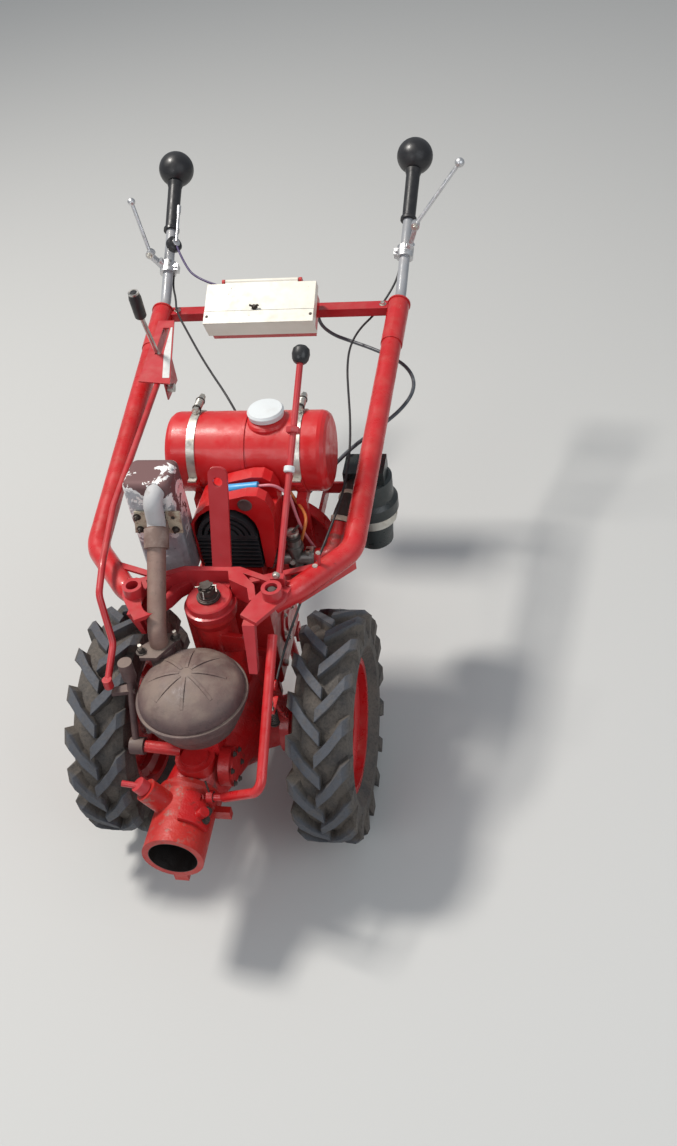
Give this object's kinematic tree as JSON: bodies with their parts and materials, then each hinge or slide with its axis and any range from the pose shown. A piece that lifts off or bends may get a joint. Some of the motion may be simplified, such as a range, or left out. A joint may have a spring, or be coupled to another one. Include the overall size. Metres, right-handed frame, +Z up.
{
  "type": "walking tractor",
  "caption": "Two-wheel walking tractor with a petrol engine behind the gearbox, chevron tyres, a turret handlebar and a front coupling sleeve",
  "frame": {"origin": "bottom centre of the whole machine, on the ground it stands on", "axes": "+X to the right seen from the coupling sleeve's side, +Y from the coupling sleeve back to the handles, +Z up"},
  "size_m": [0.953, 1.954, 1.144],
  "materials": {
    "red_paint": "gloss",
    "tyre": "matte",
    "black_rubber": "satin",
    "ivory_paint": "satin",
    "rusty_steel": "matte",
    "bare_steel": "satin",
    "grey_paint": "satin",
    "black_cast": "matte",
    "alloy": "satin",
    "dark_paint": "satin",
    "red_cast": "gloss",
    "blue_plastic": "gloss",
    "white_plastic": "satin",
    "hose_rubber": "matte",
    "cable_black": "satin",
    "pink_rubber": "matte",
    "red_cast_light": "gloss",
    "red_sheet": "gloss"
  },
  "bodies": {
    "chassis": {"air_cleaner": "dark_paint", "air_cleaner_bracket": "red_paint", "brake_arm": "red_paint", "brake_cable": "cable_black", "carburettor": "alloy", "clutch_cable": "cable_black", "clutch_crank": "rusty_steel", "coupling_sleeve": "red_cast", "engine_block": "red_cast_light", "engine_cowl": "red_sheet", "engine_cylinder": "black_cast", "exhaust_clamp": "bare_steel", "exhaust_elbow": "grey_paint", "exhaust_pipe": "rusty_steel", "fan_housing": "red_sheet", "filler_cap": "white_plastic", "fuel_tank": "red_paint", "gearbox_case": "red_cast", "inlet_elbow": "red_cast_light", "intake_hose": "hose_rubber", "lock_pin": "bare_steel", "pipe_flange": "rusty_steel", "pot_bracket": "red_paint", "recoil_starter": "black_cast", "shift_rod": "red_paint", "silencer_box": "grey_paint", "silencer_pot": "rusty_steel", "sleeve_clamp": "rusty_steel", "spark_lead": "pink_rubber", "spark_plug_cap": "blue_plastic", "stand_bracket": "red_paint", "switch_lead": "cable_black", "tank_saddle_left": "red_paint", "tank_saddle_right": "red_paint", "tank_strap_left": "bare_steel", "tank_strap_right": "bare_steel", "turret_spindle": "bare_steel"},
    "wheel_left": {"tyre_left": "tyre", "rim_left": "red_paint", "half_shaft_left": "bare_steel"},
    "wheel_right": {"tyre_right": "tyre", "rim_right": "red_paint", "half_shaft_right": "bare_steel"},
    "handlebar": {"handlebar_yoke": "red_paint", "handle_tube_left": "red_paint", "handle_tube_right": "red_paint", "grip_tube_left": "grey_paint", "grip_tube_right": "grey_paint", "grip_left": "black_rubber", "grip_right": "black_rubber", "crossbar": "red_paint", "hand_lever_left": "alloy", "hand_lever_right": "alloy", "toolbox_tray": "red_paint", "gate_plate": "red_paint", "gate_lever": "bare_steel", "shift_lever": "red_paint", "control_rod": "red_paint"},
    "toolbox_lid": {"toolbox_lid": "ivory_paint"},
    "stand": {"stand": "red_paint"}
  },
  "joints": [
    {"name": "wheel_left_spin", "type": "hinge", "parent": "chassis", "child": "wheel_left", "pos_m": [-0.3025, -0.553, 0.28], "axis": [1, 0, 0], "continuous": true},
    {"name": "wheel_right_spin", "type": "hinge", "parent": "chassis", "child": "wheel_right", "pos_m": [0.2135, -0.553, 0.28], "axis": [1, 0, 0], "continuous": true},
    {"name": "handlebar_swing", "type": "hinge", "parent": "chassis", "child": "handlebar", "pos_m": [-0.0445, -0.516, 0.64], "axis": [0, 0, 1], "range_deg": [-4, 4], "deforming": ["clutch_cable", "brake_cable", "switch_lead"]},
    {"name": "toolbox_lid_hinge", "type": "hinge", "parent": "handlebar", "child": "toolbox_lid", "pos_m": [-0.0705, 0.45994, 0.92238], "axis": [-1, 0, 0], "range_deg": [0, 110]},
    {"name": "stand_fold", "type": "hinge", "parent": "chassis", "child": "stand", "pos_m": [-0.0445, -0.231, 0.26], "axis": [1, 0, 0], "range_deg": [0, 95]}
  ]
}
